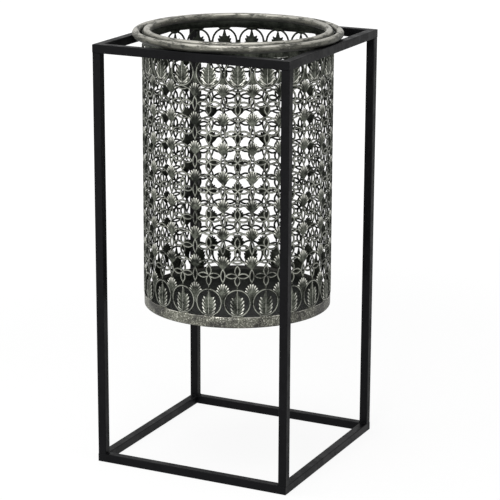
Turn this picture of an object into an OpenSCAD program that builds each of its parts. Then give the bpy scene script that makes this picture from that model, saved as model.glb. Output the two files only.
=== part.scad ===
// Lantern floor lamp: a pierced drum hangs by its collar ring in an open square frame.
// Millimetres. The floor is z = 0, the frame's middle is on the Z axis and its front faces -Y.

/* [Frame] */
// Outer width and depth of the frame
frame_w = 270; // [240:1:320]
// Height of the frame from the floor to the top of its rails
frame_h = 550; // [480:5:700]
// Side of the square tube
tube = 11; // [8:0.5:14]
// Wall of the square tube
tube_wall = 1; // [0.8:0.1:2]
// Radius of the square tube's long outer edges
tube_edge_r = 1; // [0.3:0.1:1.1]
// Leg of the fillet welds in the frame's corners
frame_weld_leg = 2; // [1:0.25:3]
// Bare tube left beside each fillet weld
frame_weld_inset = 1.2; // [0.9:0.1:2.5]

/* [Drum] */
// Gap between the drum and the frame's rails on each side
drum_gap = 2.5; // [2:0.5:8]
// Thickness of the drum's sheet
sheet = 0.8; // [0.5:0.1:1.2]
// Number of columns of the pattern around the drum
columns = 21; // [18:1:24]
// Number of rows of four-petalled motifs
rows = 7; // [5:1:8]
// Height from one row of motifs to the next
row_pitch = 36.2; // [33:0.2:40]
// Turn of the pattern about the drum's axis, in degrees
drum_turn = 26.3; // [0:0.1:90]
// Height of the plain hem under the lower medallions
hem_h = 14.4; // [12:0.2:22]
// Height of the plain collar over the upper medallions
collar_h = 14.8; // [10:0.1:20]

/* [Medallions] */
// Outer height of a leaf medallion
medallion_h = 36.6; // [34:0.2:42]
// Sheet left over and under a medallion's opening
medallion_rim = 1.5; // [1:0.1:3]
// Sheet left between the openings of two medallions side by side
medallion_web = 6; // [4:0.2:9]
// Width of the leaf
leaf_w = 19; // [14:0.5:21]
// Height of the leaf's tip over the bottom of the opening
leaf_h = 28.5; // [22:0.5:30]
// Width of the leaf's stem
leaf_stem_w = 3; // [2:0.25:4]
// Width of the spandrel openings between the medallions
spandrel_w = 19; // [8:0.5:20]
// Height of the spandrel openings
spandrel_h = 12.5; // [5:0.5:13]
// Height from the lower medallions to the middle of the first row of motifs
lower_link_h = 17; // [16:0.2:24]
// Height from the middle of the last row of motifs to the upper medallions
upper_link_h = 19.8; // [18:0.2:26]

/* [Motifs] */
// Width of the bars that cross in each motif
bar_w = 5.2; // [4:0.2:7]
// Width of the upright loop between two motifs
loop_w = 5.6; // [4:0.2:8]
// Width of the fan's body
fan_w = 8.6; // [7:0.2:11]
// Height of the fan's body
fan_h = 12; // [10:0.2:14]
// Height of the eye over each motif
eye_h = 6.6; // [5:0.2:9]

/* [Rings] */
// Outside diameter of the rim ring's tube
rim_tube = 10; // [7:0.5:13]
// Outside diameter of the hanger ring's tube
hanger_tube = 10; // [7:0.5:12]
// Wall of both ring tubes
ring_wall = 1; // [0.8:0.1:1.5]
// How far the hanger ring's centreline lies inside the rails' centrelines
hanger_inset = 0.2; // [0:0.1:2]
// Height of the rim ring's centre over the hanger ring's centre
rim_rise = 1.7; // [0.5:0.1:3.5]
// Air between the hanger ring and the rails it rests on
rest_gap = 0.3; // [0.2:0.05:0.5]

/* [Base] */
// Thickness of the base pan
pan_t = 1; // [0.8:0.1:2]
// Height of the pan's upturned lip over its floor
pan_lip_h = 8; // [4:0.5:10]
// Height of the pan's underside over the drum's lower edge
pan_rise = 1.5; // [1:0.1:2.5]

/* [Tack welds] */
// Number of tacks between the drum's sheet and the rim ring
rim_tacks_n = 12; // [6:1:18]
// Number of tacks between the drum and the hanger ring
hanger_tacks_n = 4; // [3:1:12]
// Number of tacks under the base pan
base_tacks_n = 8; // [4:1:16]
// Length of a tack, in degrees around the drum
tack_arc = 3; // [2:0.5:5]
// Width of the rim tacks
rim_tack_w = 2; // [1.5:0.25:3]
// Air left over the rim tacks, under the rim ring's widest line
rim_tack_gap = 1.5; // [1:0.1:2]
// Height of the tacks that carry the hanger ring
hanger_tack_h = 3; // [1.5:0.25:3.5]

/* [Hidden] */

black = "#1f2023";
pewter = "#6e7267";
dark_pewter = "#3c4038";
round_fn = 48;
drum_fn = 126;
cut_margin = 3;
quarter = 90;

upright_h = frame_h - 2 * tube;
rail_line = (frame_w - tube) / 2;
edge_r = min(tube_edge_r, tube / 4);
drum_r = frame_w / 2 - tube - drum_gap;
drum_inner_r = drum_r - sheet;
pitch = 2 * PI * drum_r / columns;
column_angle = 360 / columns;
opening_w = pitch - medallion_web;
opening_h = medallion_h - 2 * medallion_rim;
opening_sides = 12;

lower_medallion_z = hem_h + medallion_h / 2;
first_row_z = hem_h + medallion_h + lower_link_h;
upper_medallion_z = first_row_z + (rows - 1) * row_pitch + upper_link_h + medallion_h / 2;
collar_z = upper_medallion_z + medallion_h / 2;
drum_h = collar_z + collar_h;

hanger_r = rail_line - hanger_inset;
hanger_z = frame_h + rest_gap + hanger_tube / 2;
rim_r = drum_inner_r - rim_tube / 2;
rim_z = hanger_z + rim_rise;
drum_z = rim_z - drum_h;

// Right half of the leaf's outline as shares of its width and height, from the stem to the last lobe
leaf_half = [[0.42, 0.16], [0.28, 0.32], [0.5, 0.46], [0.26, 0.58], [0.34, 0.76]];

// ---- Frame ----

module rounded_square(side, r) {
  half = side / 2 - r;
  square([side, side - 2 * r], center = true);
  square([side - 2 * r, side], center = true);
  for (x = [-half, half], y = [-half, half])
    translate([x, y]) circle(r = r, $fn = round_fn);
}

module tube_profile() {
  difference() {
    rounded_square(tube, edge_r);
    square(tube - 2 * tube_wall, center = true);
  }
}

module upright(side_x, side_y) {
  color(black)
    translate([side_x * rail_line, side_y * rail_line, tube])
      linear_extrude(height = upright_h) tube_profile();
}

// The front rail, mitred at both ends, turned to its side of the frame
module rail(z, turns) {
  half = frame_w / 2;
  color(black)
    rotate([0, 0, turns * quarter])
      translate([0, 0, z])
        intersection() {
          translate([-half, -rail_line, tube / 2])
            rotate([quarter, 0, quarter])
              linear_extrude(height = frame_w) tube_profile();
          translate([0, 0, -cut_margin])
            linear_extrude(height = tube + 2 * cut_margin)
              polygon([[-half, -half], [half, -half], [half - tube, tube - half], [tube - half, tube - half]]);
        }
}

// One fillet on a rail's top face, against the inner face of the upright at its left end
module corner_fillet() {
  translate([tube - frame_w / 2, -rail_line + tube / 2 - frame_weld_inset, tube])
    rotate([quarter, 0, 0])
      linear_extrude(height = tube - 2 * frame_weld_inset)
        polygon([[0, 0], [frame_weld_leg, 0], [0, frame_weld_leg]]);
}

// The two fillets of every corner, on the bottom rails
module corner_welds() {
  for (turns = [0 : 3])
    rotate([0, 0, turns * quarter]) {
      corner_fillet();
      mirror([1, 0, 0]) corner_fillet();
    }
}

module bottom_corner_welds() {
  color(black) corner_welds();
}

module top_corner_welds() {
  color(black)
    translate([0, 0, frame_h]) mirror([0, 0, 1]) corner_welds();
}

// ---- Drum ----

// A flat outline, pushed through the sheet in the column that faces -Y
module through_sheet() {
  rotate([quarter, 0, 0])
    translate([0, 0, drum_inner_r - cut_margin])
      linear_extrude(height = sheet + 2 * cut_margin) children();
}

// One of the four openings around a motif, in the quarter where x and y are positive
module motif_opening() {
  polygon([
    [bar_w / 2, bar_w / 2],
    [pitch / 2 - loop_w / 2, bar_w / 2],
    [pitch / 2 - fan_w / 2, row_pitch / 2 - fan_h / 2],
    [bar_w / 2, row_pitch / 2 - eye_h / 2]
  ]);
}

module motif_openings() {
  for (sx = [0, 1], sy = [0, 1])
    mirror([sx, 0]) mirror([0, sy]) motif_opening();
}

function leaf_side(sign, order) =
  [for (i = order) [sign * leaf_half[i][0] * leaf_w, leaf_half[i][1] * leaf_h - opening_h / 2]];

module leaf() {
  last = len(leaf_half) - 1;
  polygon(concat(
    [[leaf_stem_w / 2, -opening_h / 2 - cut_margin]],
    leaf_side(1, [0 : last]),
    [[0, leaf_h - opening_h / 2]],
    leaf_side(-1, [last : -1 : 0]),
    [[-leaf_stem_w / 2, -opening_h / 2 - cut_margin]]
  ));
}

// The oval opening of a medallion around its leaf, which stands on the opening's lower edge
module medallion_opening() {
  half_step = 180 / opening_sides;
  difference() {
    polygon([for (i = [0 : opening_sides - 1])
      [opening_w / 2 * cos((2 * i + 1) * half_step), opening_h / 2 * sin((2 * i + 1) * half_step)]]);
    leaf();
  }
}

module spandrel_opening() {
  polygon([[-spandrel_w / 2, 0], [spandrel_w / 2, 0], [0, spandrel_h]]);
}

// The openings of one column, through the sheet that faces -Y
module column_openings() {
  for (row = [0 : rows - 1])
    translate([0, 0, first_row_z + row * row_pitch]) through_sheet() motif_openings();
  for (z = [lower_medallion_z, upper_medallion_z])
    translate([0, 0, z]) through_sheet() medallion_opening();
  rotate([0, 0, column_angle / 2]) {
    translate([0, 0, hem_h]) through_sheet() spandrel_opening();
    translate([0, 0, collar_z]) through_sheet() mirror([0, 1]) spandrel_opening();
  }
}

module pierced_drum() {
  color(pewter)
    translate([0, 0, drum_z])
      difference() {
        cylinder(r = drum_r, h = drum_h, $fn = drum_fn);
        translate([0, 0, -cut_margin])
          cylinder(r = drum_inner_r, h = drum_h + 2 * cut_margin, $fn = drum_fn);
        for (i = [0 : columns - 1])
          rotate([0, 0, drum_turn + i * column_angle]) column_openings();
      }
}

// ---- Rings ----

module ring(line_r, z, d) {
  translate([0, 0, z])
    rotate_extrude($fn = drum_fn)
      translate([line_r, 0])
        difference() {
          circle(d = d, $fn = round_fn);
          circle(d = d - 2 * ring_wall, $fn = round_fn);
        }
}

module rim_ring() {
  color(pewter) ring(rim_r, rim_z, rim_tube);
}

module hanger_ring() {
  color(pewter) ring(hanger_r, hanger_z, hanger_tube);
}

// Short stretches of one cross-section, evenly spaced around the drum's axis
module tacks(count, z, first_angle) {
  translate([0, 0, z])
    for (i = [0 : count - 1])
      rotate([0, 0, first_angle + i * 360 / count - tack_arc / 2])
        rotate_extrude(angle = tack_arc, $fn = drum_fn) children();
}

// Fillets in the groove between the sheet's inner face and the rim ring's underside
module rim_tacks() {
  ring_half = rim_tube / 2;
  depth = sqrt(pow(ring_half, 2) - pow(ring_half - rim_tack_w, 2));
  color(pewter)
    tacks(rim_tacks_n, rim_z, drum_turn)
      difference() {
        translate([drum_inner_r - rim_tack_w, -depth])
          square([rim_tack_w, depth - rim_tack_gap]);
        translate([rim_r, 0]) circle(d = rim_tube, $fn = round_fn);
      }
}

// Plugs between the sheet's outer face and the hanger ring, over the middle of each rail
module hanger_tacks() {
  color(pewter)
    tacks(hanger_tacks_n, hanger_z, 0)
      difference() {
        translate([drum_r, -hanger_tack_h / 2])
          square([hanger_r - drum_r, hanger_tack_h]);
        translate([hanger_r, 0]) circle(d = hanger_tube, $fn = round_fn);
      }
}

// ---- Base ----

module base_pan() {
  color(dark_pewter)
    translate([0, 0, drum_z + pan_rise])
      rotate_extrude($fn = drum_fn) {
        square([drum_inner_r, pan_t]);
        translate([drum_inner_r - pan_t, 0]) square([pan_t, pan_t + pan_lip_h]);
      }
}

module base_tacks() {
  color(dark_pewter)
    tacks(base_tacks_n, drum_z + pan_rise, drum_turn)
      polygon([[drum_inner_r, 0], [drum_inner_r, -pan_rise], [drum_inner_r - pan_rise, 0]]);
}

upright(-1, -1);  // upright_front_left
upright(1, -1);  // upright_front_right
upright(-1, 1);  // upright_rear_left
upright(1, 1);  // upright_rear_right
rail(frame_h - tube, 0);  // top_rail_front
rail(frame_h - tube, 1);  // top_rail_right
rail(frame_h - tube, 2);  // top_rail_rear
rail(frame_h - tube, 3);  // top_rail_left
rail(0, 0);  // bottom_rail_front
rail(0, 1);  // bottom_rail_right
rail(0, 2);  // bottom_rail_rear
rail(0, 3);  // bottom_rail_left
top_corner_welds();
bottom_corner_welds();
pierced_drum();
rim_ring();
hanger_ring();
rim_tacks();
hanger_tacks();
base_pan();
base_tacks();
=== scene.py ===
"""Looks of the lantern floor lamp: a pierced pewter drum that hangs by its collar in a black tube frame."""
import logging
import math
from dataclasses import dataclass
from enum import Enum

import bmesh
import bpy
import numpy as np
from mathutils import Matrix, Vector


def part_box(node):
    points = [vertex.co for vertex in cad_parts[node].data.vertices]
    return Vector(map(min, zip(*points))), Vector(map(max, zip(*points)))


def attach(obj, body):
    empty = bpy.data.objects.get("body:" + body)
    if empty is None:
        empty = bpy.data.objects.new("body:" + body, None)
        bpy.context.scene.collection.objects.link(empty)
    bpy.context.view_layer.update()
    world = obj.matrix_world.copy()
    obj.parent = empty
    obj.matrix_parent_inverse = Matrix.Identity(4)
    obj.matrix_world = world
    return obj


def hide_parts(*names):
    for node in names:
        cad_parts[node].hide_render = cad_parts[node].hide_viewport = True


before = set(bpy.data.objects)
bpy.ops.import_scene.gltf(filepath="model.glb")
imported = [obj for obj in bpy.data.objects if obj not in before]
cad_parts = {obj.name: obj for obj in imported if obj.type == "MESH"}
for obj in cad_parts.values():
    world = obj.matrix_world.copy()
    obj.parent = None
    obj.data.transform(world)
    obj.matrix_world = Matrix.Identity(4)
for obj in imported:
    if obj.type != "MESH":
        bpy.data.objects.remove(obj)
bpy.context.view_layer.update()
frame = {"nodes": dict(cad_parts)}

Colour = tuple[float, float, float]
Socket = bpy.types.NodeSocket
Point = tuple[float, float]
Spot = tuple[float, float, float]

MM = 0.001
POLE_MERGE = 1e-7
MITRE_LIMIT = 1.7
RELIEF = "relief"
WHITE = (1.0, 1.0, 1.0, 1.0)
log = logging.getLogger("lantern")


class Body(Enum):
    """The two bodies that pieces ride on."""

    FRAME = "frame"
    DRUM = "drum"


class Slot(Enum):
    """The material slots."""

    FRAME = "frame_black"
    DRUM = "drum_patina"
    RING = "ring_patina"
    BASE = "base_patina"


# ---------------------------------------------------------------------------------------------
# Node trees
# ---------------------------------------------------------------------------------------------


class Graph:
    """Adds nodes to a tree and feeds their inputs with values or with other nodes' sockets."""

    def __init__(self, tree: bpy.types.NodeTree) -> None:
        """Starts on an empty tree.

        Args:
            tree: the tree to fill; nodes that it already has are removed.
        """
        tree.nodes.clear()
        self.tree = tree

    def add(self, kind: str, feeds: dict | None = None, **settings: object) -> bpy.types.Node:
        """Adds one node.

        Args:
            kind: the node's Blender type name.
            feeds: what each input gets, by its name or its place: a socket or a plain value.
            settings: the node's own properties.

        Returns:
            The new node.
        """
        node = self.tree.nodes.new(kind)
        for name, value in settings.items():
            setattr(node, name, value)
        for key, value in (feeds or {}).items():
            if isinstance(value, Socket):
                self.tree.links.new(value, node.inputs[key])
            else:
                node.inputs[key].default_value = value
        return node

    def math(self, operation: str, a: object, b: object = 0.0) -> Socket:
        """Adds a Math node.

        Args:
            operation: the node's operation, such as "MULTIPLY".
            a: the first value or socket.
            b: the second value or socket.

        Returns:
            The result's socket.
        """
        return self.add("ShaderNodeMath", {0: a, 1: b}, operation=operation).outputs[0]

    def vector_math(self, operation: str, feeds: dict) -> Socket:
        """Adds a Vector Math node.

        Args:
            operation: the node's operation, such as "SCALE".
            feeds: what its inputs get, by name or by place.

        Returns:
            The result's socket, which for LENGTH is a number.
        """
        node = self.add("ShaderNodeVectorMath", feeds, operation=operation)
        return node.outputs["Value" if operation == "LENGTH" else "Vector"]

    def remap(
        self, value: object, low: float, high: float, to_low: float = 0.0, to_high: float = 1.0
    ) -> Socket:
        """Maps a value smoothly from one range to another and clamps it.

        Args:
            value: the value or socket to map.
            low: the value that becomes to_low.
            high: the value that becomes to_high.
            to_low: the result at low.
            to_high: the result at high.

        Returns:
            The result's socket.
        """
        feeds = {0: value, 1: low, 2: high, 3: to_low, 4: to_high}
        return self.add("ShaderNodeMapRange", feeds, interpolation_type="SMOOTHSTEP").outputs[0]

    def blend(self, factor: object, a: object, b: object) -> Socket:
        """Mixes two colours.

        Args:
            factor: how much of the second colour shows.
            a: the first colour or socket.
            b: the second colour or socket.

        Returns:
            The mixed colour's socket.
        """
        node = self.add("ShaderNodeMix", data_type="RGBA")
        for place, value in ((0, factor), (6, a), (7, b)):
            if isinstance(value, Socket):
                self.tree.links.new(value, node.inputs[place])
            elif place:
                node.inputs[place].default_value = (*value, 1.0)
            else:
                node.inputs[place].default_value = value
        return node.outputs[2]

    def noise(self, vector: Socket, scale: object, detail: float, roughness: float) -> Socket:
        """Adds a noise texture.

        Args:
            vector: the coordinates that it reads.
            scale: its scale, a number or a socket.
            detail: its octaves.
            roughness: how strong its fine octaves are.

        Returns:
            The noise value's socket.
        """
        feeds = {"Vector": vector, "Scale": scale, "Detail": detail, "Roughness": roughness}
        return self.add("ShaderNodeTexNoise", feeds).outputs[0]


def new_material(name: str) -> tuple[bpy.types.Material, Graph]:
    """Makes an empty node material.

    Args:
        name: the material's name.

    Returns:
        The material and the graph of its nodes.
    """
    material = bpy.data.materials.new(name)
    material.use_nodes = True
    return material, Graph(material.node_tree)


def shader_group(
    name: str, inputs: dict[str, float], outputs: tuple[str, ...]
) -> tuple[Graph, dict[str, Socket], bpy.types.Node]:
    """Starts a shader node group with a Vector input, number inputs and number outputs.

    Args:
        name: the group's name.
        inputs: each number input's name and value.
        outputs: each number output's name.

    Returns:
        The group's graph, its input sockets by name and its output node.
    """
    tree = bpy.data.node_groups.new(name, "ShaderNodeTree")
    tree.interface.new_socket("Vector", in_out="INPUT", socket_type="NodeSocketVector")
    for label, value in inputs.items():
        socket = tree.interface.new_socket(label, in_out="INPUT", socket_type="NodeSocketFloat")
        socket.default_value = value
    for label in outputs:
        tree.interface.new_socket(label, in_out="OUTPUT", socket_type="NodeSocketFloat")
    graph = Graph(tree)
    entry = graph.add("NodeGroupInput")
    leave = graph.add("NodeGroupOutput")
    return graph, {s.name: s for s in entry.outputs}, leave


def mottle_group() -> bpy.types.NodeTree:
    """Builds the patchy mask of a hand-rubbed patina.

    Returns:
        A group that puts out Mask, from 0 in dark patches to 1 in rubbed ones.
    """
    fine_ratio, broad_share, fine_share = 5.3, 0.68, 0.32
    graph, given, leave = shader_group("Mottle", {"Scale": 60.0, "Low": 0.4, "High": 0.6}, ("Mask",))
    broad = graph.noise(given["Vector"], given["Scale"], detail=4.0, roughness=0.62)
    fine_scale = graph.math("MULTIPLY", given["Scale"], fine_ratio)
    fine = graph.noise(given["Vector"], fine_scale, detail=3.0, roughness=0.6)
    broad, fine = graph.math("MULTIPLY", broad, broad_share), graph.math("MULTIPLY", fine, fine_share)
    both = graph.math("ADD", broad, fine)
    ramp = graph.add("ShaderNodeMapRange", {0: both, 1: given["Low"], 2: given["High"]})
    graph.tree.links.new(ramp.outputs[0], leave.inputs["Mask"])
    return graph.tree


def speckle_group() -> bpy.types.NodeTree:
    """Builds the small sharp specks of pitted, worn plating.

    Returns:
        A group that puts out Mask, 1 inside a speck, and Height for a Bump node.
    """
    patch_ratio, cell_share, soft_under, soft_over = 0.45, 0.22, 0.04, 0.05
    graph, given, leave = shader_group("Speckle", {"Scale": 400.0, "Cover": 0.5}, ("Mask", "Height"))
    cells = graph.add("ShaderNodeTexVoronoi", {"Vector": given["Vector"], "Scale": given["Scale"]})
    patch_scale = graph.math("MULTIPLY", given["Scale"], patch_ratio)
    patch = graph.noise(given["Vector"], patch_scale, detail=4.0, roughness=0.7)
    edge = graph.math("SUBTRACT", patch, graph.math("MULTIPLY", cells.outputs["Distance"], cell_share))
    low = graph.math("SUBTRACT", given["Cover"], soft_under)
    high = graph.math("ADD", given["Cover"], soft_over)
    mask = graph.add("ShaderNodeMapRange", {0: edge, 1: low, 2: high})
    graph.tree.links.new(mask.outputs[0], leave.inputs["Mask"])
    graph.tree.links.new(patch, leave.inputs["Height"])
    return graph.tree


# ---------------------------------------------------------------------------------------------
# Finishes
# ---------------------------------------------------------------------------------------------


@dataclass(frozen=True)
class Pewter:
    """Antique silver patina: dark in the hollows and patches, bright where hands and cloth rub it.

    Relief values from 0 to shade_end are darkened by up to shade, and those from rub_highlight_start to
    rub_highlight_end are made bright. The bright part is partly rubbed wear and partly painted highlight,
    and where the relief follows how far a surface faces up, the darkening is painted shade on its
    underside. The patch mask breaks the bright part between rub_highlight_gaps and rub_highlight_full, and
    thins the bright speckles to speckle_gaps of their strength. Pits darken the noise from pit_high to
    pit_low.
    Where streak isn't 0, it is the length that a ring's radian counts for, which draws marks out.
    """

    name: str
    hollow_and_shade: Colour
    body: Colour
    bright: Colour
    mottle_scale: float = 55.0
    mottle_low: float = 0.40
    mottle_high: float = 0.62
    speckle_scale: float = 420.0
    speckle_cover: float = 0.56
    speckle_strength: float = 0.35
    speckle_gaps: float = 0.3
    pit_strength: float = 0.0
    pit_high: float = 0.46
    pit_low: float = 0.36
    shade_end: float = 0.5
    shade: float = 0.75
    rub_highlight_start: float = 0.45
    rub_highlight_end: float = 1.0
    rub_highlight_gaps: float = -0.4
    rub_highlight_full: float = 0.7
    rough_dark: float = 0.62
    rough_bright: float = 0.34
    metal_dark: float = 0.55
    metal_bright: float = 0.95
    bump_depth: float = 0.10 * MM
    streak: float = 0.0

    def _place(self, graph: Graph) -> Socket:
        """Adds the coordinates that the patina reads.

        Args:
            graph: the material's graph.

        Returns:
            Object coordinates, or with a streak the same laid out along the ring.
        """
        place = graph.add("ShaderNodeTexCoord").outputs["Object"]
        if not self.streak:
            return place
        flat = graph.add("ShaderNodeSeparateXYZ", {0: place}).outputs
        along = graph.math("MULTIPLY", graph.math("ARCTAN2", flat["Y"], flat["X"]), self.streak)
        squares = [graph.math("MULTIPLY", flat[axis], flat[axis]) for axis in ("X", "Y")]
        out = graph.math("SQRT", graph.math("ADD", *squares))
        return graph.add("ShaderNodeCombineXYZ", {"X": along, "Y": out, "Z": flat["Z"]}).outputs[0]

    def build(self, mottle: bpy.types.NodeTree, speckle: bpy.types.NodeTree) -> bpy.types.Material:
        """Makes the material.

        Args:
            mottle: the shared Mottle group.
            speckle: the shared Speckle group.

        Returns:
            The material, which reads Object coordinates and the piece's relief attribute.
        """
        material, graph = new_material(self.name)
        place = self._place(graph)
        relief = graph.add("ShaderNodeAttribute", attribute_name=RELIEF).outputs["Fac"]
        feeds = {"Vector": place, "Scale": self.mottle_scale}
        feeds |= {"Low": self.mottle_low, "High": self.mottle_high}
        patch = graph.add("ShaderNodeGroup", feeds, node_tree=mottle).outputs["Mask"]
        feeds = {"Vector": place, "Scale": self.speckle_scale, "Cover": self.speckle_cover}
        specks = graph.add("ShaderNodeGroup", feeds, node_tree=speckle).outputs
        thin = self.speckle_strength * self.speckle_gaps
        strength = graph.remap(patch, 0.0, 1.0, thin, self.speckle_strength)
        lit = graph.math("MULTIPLY", graph.remap(relief, 0.0, self.shade_end), strength)
        speck = graph.math("MULTIPLY", specks["Mask"], lit)
        pits = graph.remap(specks["Height"], self.pit_high, self.pit_low, 0.0, self.pit_strength)
        # The bright part is partly rubbed wear and partly painted highlight on crests and tops.
        rubbed = graph.remap(relief, self.rub_highlight_start, self.rub_highlight_end)
        rubbed = graph.math("MULTIPLY", rubbed, graph.remap(patch, self.rub_highlight_gaps, self.rub_highlight_full))
        body = graph.blend(patch, self.hollow_and_shade, self.body)
        # Darkens low relief: patina in the hollows, and painted shade on the sides of ridges and on
        # undersides.
        body = graph.blend(graph.remap(relief, 0.0, self.shade_end, self.shade, 0.0), body, self.hollow_and_shade)
        body = graph.blend(pits, body, self.hollow_and_shade)
        bright = graph.math("MAXIMUM", rubbed, speck)
        colour = graph.blend(bright, body, self.bright)
        rough = graph.remap(bright, 0.0, 1.0, self.rough_dark, self.rough_bright)
        metal = graph.remap(bright, 0.0, 1.0, self.metal_dark, self.metal_bright)
        bump = graph.add("ShaderNodeBump", {"Distance": self.bump_depth, "Height": specks["Height"]})
        surface = graph.add(
            "ShaderNodeBsdfPrincipled",
            {"Base Color": colour, "Roughness": rough, "Metallic": metal, "Normal": bump.outputs[0]},
        )
        graph.add("ShaderNodeOutputMaterial", {"Surface": surface.outputs[0]})
        return material


@dataclass(frozen=True)
class BlackPaint:
    """Satin black paint on steel tube, faintly uneven and dusty."""

    name: str = "satin_black_paint"
    paint: Colour = (0.0014, 0.0014, 0.0019)
    dusty: Colour = (0.0030, 0.0030, 0.0038)
    mottle_scale: float = 38.0
    peel_scale: float = 520.0
    peel_depth: float = 0.035 * MM
    rough_smooth: float = 0.42
    rough_dull: float = 0.56
    specular: float = 0.09

    def build(self, mottle: bpy.types.NodeTree, speckle: bpy.types.NodeTree) -> bpy.types.Material:
        """Makes the material.

        Args:
            mottle: the shared Mottle group.
            speckle: the shared Speckle group.

        Returns:
            The material, which reads Object coordinates.
        """
        material, graph = new_material(self.name)
        place = graph.add("ShaderNodeTexCoord").outputs["Object"]
        feeds = {"Vector": place, "Scale": self.mottle_scale}
        patch = graph.add("ShaderNodeGroup", feeds, node_tree=mottle).outputs["Mask"]
        feeds = {"Vector": place, "Scale": self.peel_scale}
        peel = graph.add("ShaderNodeGroup", feeds, node_tree=speckle).outputs["Height"]
        bump = graph.add("ShaderNodeBump", {"Distance": self.peel_depth, "Height": peel})
        surface = graph.add(
            "ShaderNodeBsdfPrincipled",
            {
                "Base Color": graph.blend(patch, self.paint, self.dusty),
                "Roughness": graph.remap(patch, 0.0, 1.0, self.rough_smooth, self.rough_dull),
                "Specular IOR Level": self.specular,
                "Normal": bump.outputs[0],
            },
        )
        graph.add("ShaderNodeOutputMaterial", {"Surface": surface.outputs[0]})
        return material


class Finishes:
    """Every finish on the lantern, made once."""

    def __init__(self) -> None:
        """Builds the shared groups and the materials."""
        mottle = mottle_group()
        speckle = speckle_group()
        self.paint = BlackPaint().build(mottle, speckle)
        self.filigree = Pewter(
            name="filigree_pewter",
            hollow_and_shade=(0.009, 0.011, 0.008),
            body=(0.142, 0.152, 0.124),
            bright=(0.50, 0.50, 0.45),
            rub_highlight_start=0.52,
            pit_strength=0.6,
            speckle_scale=900.0,
            metal_dark=0.85,
        ).build(mottle, speckle)
        # The ring's relief follows how far it faces up: its bright top is partly painted highlight, its
        # dark underside painted shade.
        self.ring = Pewter(
            name="ring_pewter",
            hollow_and_shade=(0.026, 0.027, 0.024),
            body=(0.150, 0.147, 0.120),
            bright=(0.38, 0.37, 0.33),
            streak=0.035,
            mottle_scale=170.0,
            mottle_low=0.32,
            mottle_high=0.62,
            rub_highlight_start=0.74,
            rub_highlight_gaps=0.34,
            shade_end=0.60,
            shade=0.78,
            speckle_scale=800.0,
            speckle_cover=0.53,
            speckle_strength=0.9,
            pit_strength=1.0,
            metal_dark=0.6,
            rough_dark=0.55,
            rough_bright=0.43,
        ).build(mottle, speckle)
        self.band = Pewter(
            name="band_pewter",
            hollow_and_shade=(0.014, 0.013, 0.010),
            body=(0.128, 0.130, 0.098),
            bright=(0.66, 0.65, 0.58),
            mottle_scale=30.0,
            mottle_low=0.42,
            mottle_high=0.58,
            shade=0.9,
            speckle_scale=1150.0,
            speckle_cover=0.48,
            speckle_strength=1.0,
            pit_strength=1.0,
            metal_dark=0.3,
            rough_dark=0.5,
            rough_bright=0.32,
        ).build(mottle, speckle)
        self.base = Pewter(
            name="base_pewter",
            hollow_and_shade=(0.007, 0.008, 0.007),
            body=(0.020, 0.023, 0.019),
            bright=(0.12, 0.12, 0.11),
            metal_dark=0.85,
        ).build(mottle, speckle)


# ---------------------------------------------------------------------------------------------
# Meshes
# ---------------------------------------------------------------------------------------------


@dataclass(frozen=True)
class Section:
    """Cross-section of a pressed ridge, from one foot over the crest to the other.

    Across runs from -0.5 to 0.5 of the ridge's width and height from 0 to 1 of its height. Relief
    makes the crest bright and the feet dark: partly patina and rubbed wear, partly a painted highlight
    on the crest and painted shade down the sides.
    """

    across: tuple[float, ...] = (-0.5, -0.5, -0.32, -0.11, 0.11, 0.32, 0.5, 0.5)
    height: tuple[float, ...] = (0.0, 0.55, 0.87, 1.0, 1.0, 0.87, 0.55, 0.0)
    relief: tuple[float, ...] = (0.0, 0.08, 0.36, 1.0, 1.0, 0.36, 0.08, 0.0)

    @classmethod
    def broad(cls) -> "Section":
        """Gives the section of a ridge whose bright crest is broad."""
        return cls(relief=(0.0, 0.25, 0.78, 1.0, 1.0, 0.78, 0.25, 0.0))


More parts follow.
